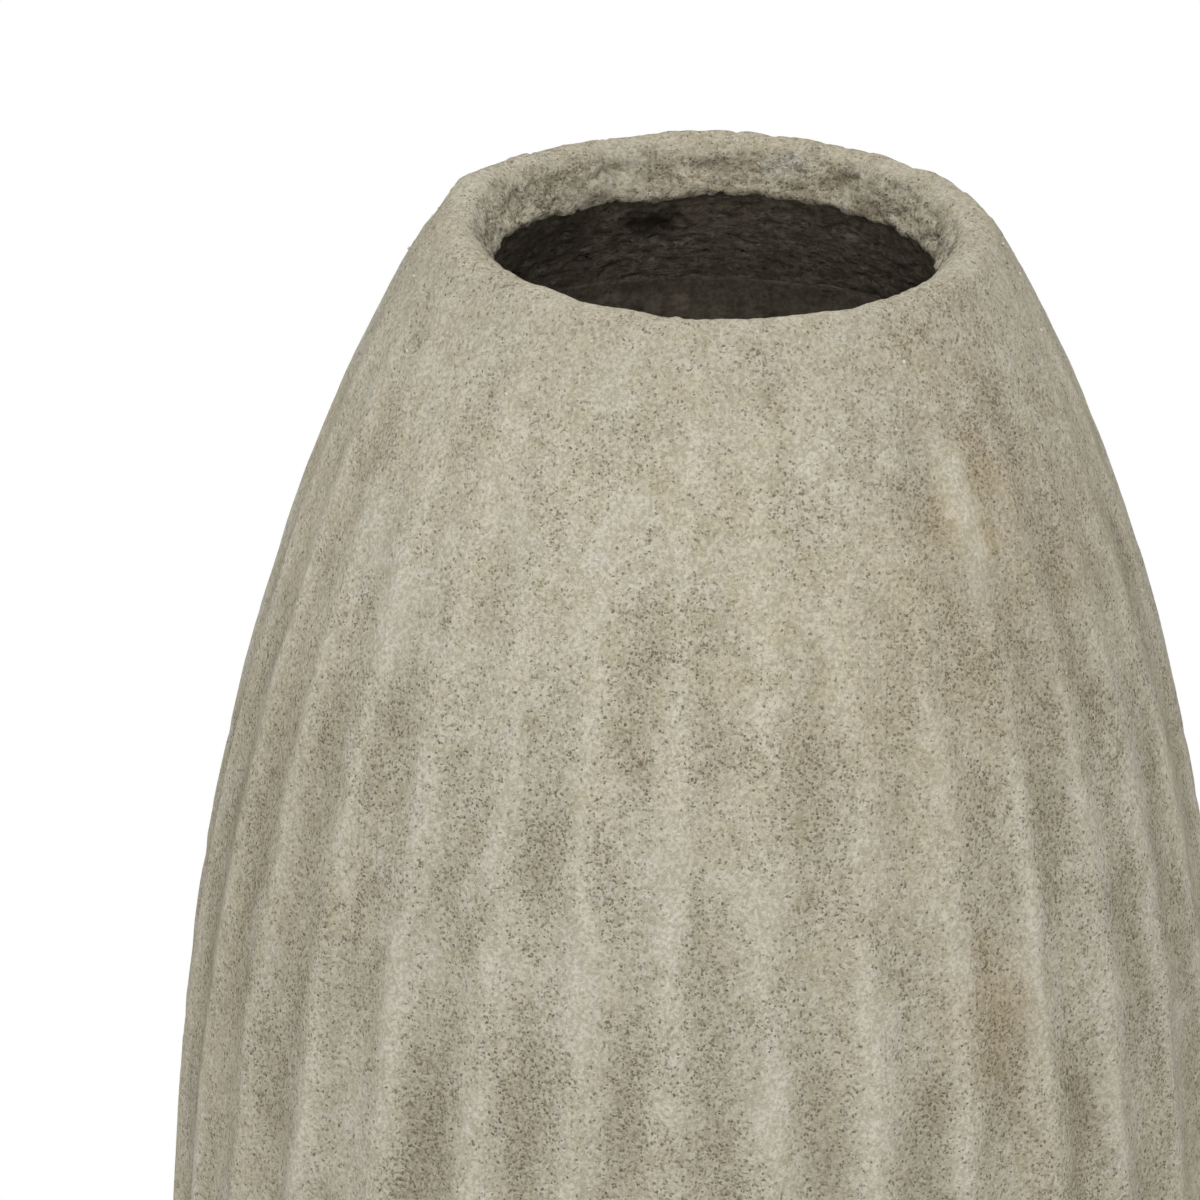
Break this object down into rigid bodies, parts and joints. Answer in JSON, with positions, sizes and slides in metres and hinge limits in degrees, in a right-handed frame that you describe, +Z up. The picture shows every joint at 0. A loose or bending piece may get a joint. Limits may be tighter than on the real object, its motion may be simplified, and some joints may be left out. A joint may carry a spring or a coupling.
{
  "type": "vase",
  "caption": "Tall fluted vase without handles, with a rolled narrow mouth, a pale sandy outside and a dark sealed inside, for standing stems and branches in.",
  "frame": {"origin": "on the table, under the middle of the foot", "axes": "+Z up along the axis that the vase is turned about, -Y towards the viewer"},
  "size_m": [0.2794, 0.2794, 0.45],
  "materials": {
    "dark_clay": "matte",
    "luting_clay": "matte",
    "sealing_coat": "matte",
    "sand_skin": "matte"
  },
  "bodies": {
    "root": {"floor_disc": "dark_clay", "lower_wall": "dark_clay", "floor_seam_coil": "luting_clay", "upper_wall": "dark_clay", "belly_seam_coil": "luting_clay", "mouth_ring": "dark_clay", "mouth_seam_coil": "luting_clay", "inner_lining": "sealing_coat", "fluted_skin": "sand_skin"}
  },
  "joints": []
}
